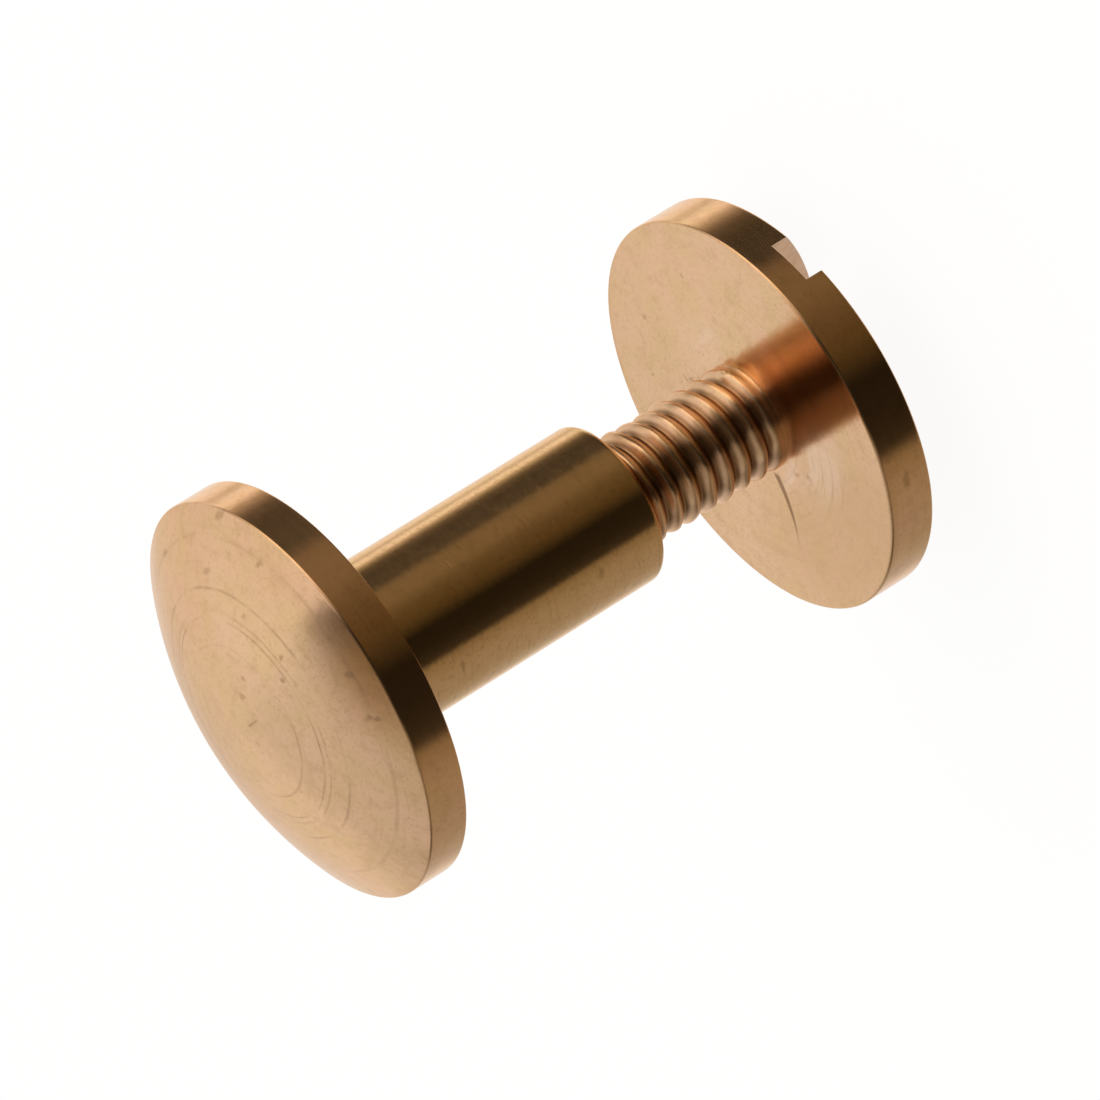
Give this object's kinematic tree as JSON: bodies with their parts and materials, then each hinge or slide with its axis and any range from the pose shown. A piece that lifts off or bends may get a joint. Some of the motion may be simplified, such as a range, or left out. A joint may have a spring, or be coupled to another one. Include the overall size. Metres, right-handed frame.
{
  "type": "screw back button stud",
  "caption": "Brass screw back stud: a domed head on a round barrel, closed by a slotted domed head on a threaded shank.",
  "frame": {"origin": "on the common axis, at the height of the slot's two edges, which the stud stands on", "axes": "+Z along the common axis from the slotted head to the plain domed head; the driver slot runs along X"},
  "size_m": [0.01, 0.01, 0.0172],
  "materials": {
    "brass": "bare turned brass, satin, with fine tool marks"
  },
  "bodies": {
    "screw": {"screw": "brass"},
    "post": {"post": "brass"}
  },
  "joints": [
    {"name": "screw_travel", "type": "slide", "parent": "screw", "child": "post", "axis": [0, 0, 1], "range_m": [-0.00405, 0.0014]}
  ]
}
